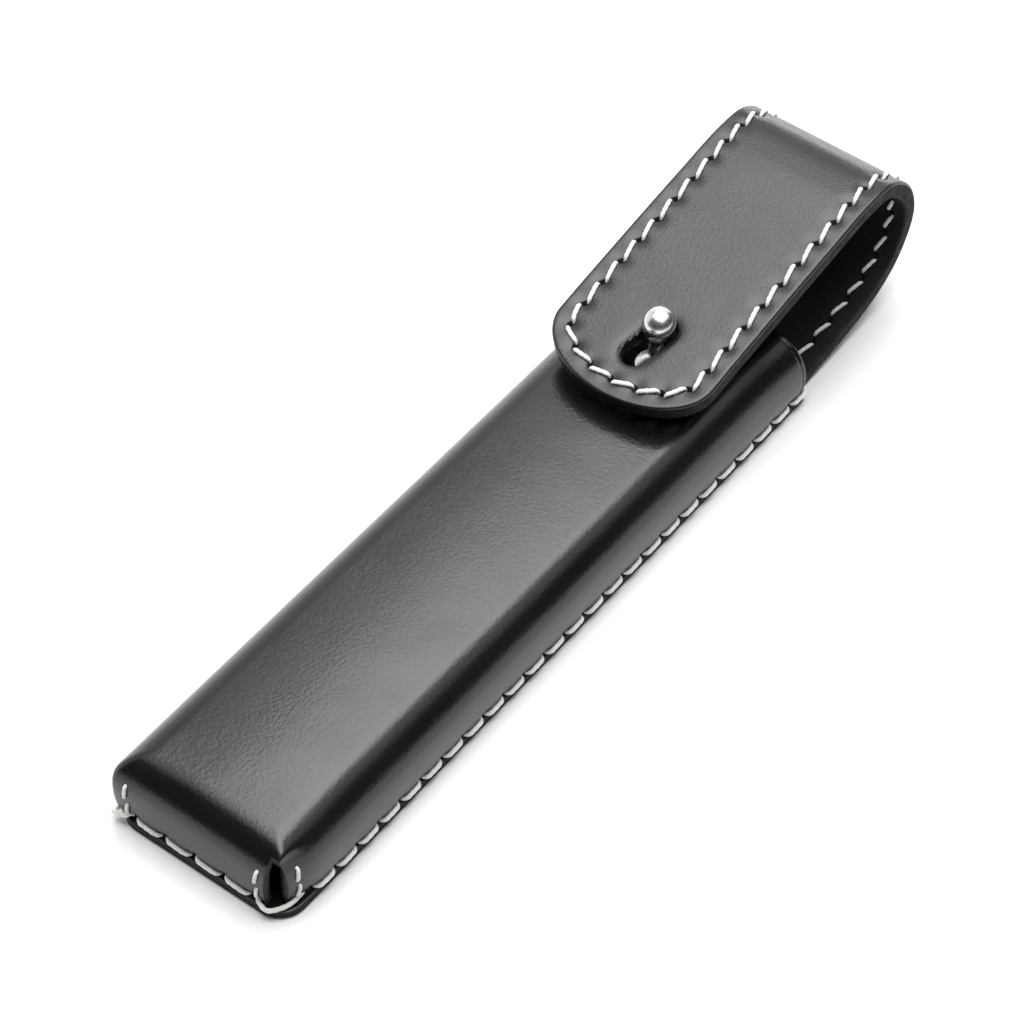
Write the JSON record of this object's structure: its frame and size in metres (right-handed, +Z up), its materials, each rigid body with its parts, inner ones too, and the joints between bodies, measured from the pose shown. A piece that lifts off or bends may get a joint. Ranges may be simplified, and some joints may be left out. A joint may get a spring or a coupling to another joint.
{
  "type": "leather pouch",
  "caption": "Slim stitched leather pouch lying on its back, with a strap that loops over the open end and buttons down by a keyhole on a ball stud.",
  "frame": {"origin": "middle of the back panel's underside, which rests on the table", "axes": "+Y from the closed end to the mouth and loop, +Z up through the front panel, +X to the right"},
  "size_m": [0.037, 0.1828, 0.0331],
  "materials": {
    "leather_black": "gloss",
    "leather_lining": "matte",
    "thread_white": "waxed",
    "chrome": "polished",
    "screw_steel": "satin"
  },
  "bodies": {
    "case": {"back_panel": "leather_black", "back_lining": "leather_lining", "front_shell": "leather_black", "stud_head": "chrome", "stud_screw": "screw_steel", "base_thread": "thread_white", "corner_thread_left": "thread_white", "corner_thread_right": "thread_white", "strap_thread_left_out": "thread_white", "strap_thread_right_out": "thread_white", "strap_thread_left_in": "thread_white", "strap_thread_right_in": "thread_white"},
    "loop": {"loop_outer": "leather_black", "loop_lining": "leather_lining", "loop_thread_left_out": "thread_white", "loop_thread_right_out": "thread_white", "loop_thread_left_in": "thread_white", "loop_thread_right_in": "thread_white"},
    "flap": {"flap_outer": "leather_black", "flap_lining": "leather_lining", "flap_thread_out": "thread_white", "flap_thread_in": "thread_white"}
  },
  "joints": [
    {"name": "loop_bend", "type": "hinge", "parent": "case", "child": "loop", "pos_m": [-0.0002, 0.1016, 0.00658], "axis": [-1, 0, 0], "range_deg": [0, 82]},
    {"name": "flap_bend", "type": "hinge", "parent": "loop", "child": "flap", "pos_m": [-0.0002, 0.10516, 0.02833], "axis": [-1, 0, 0], "range_deg": [0, 106]}
  ]
}
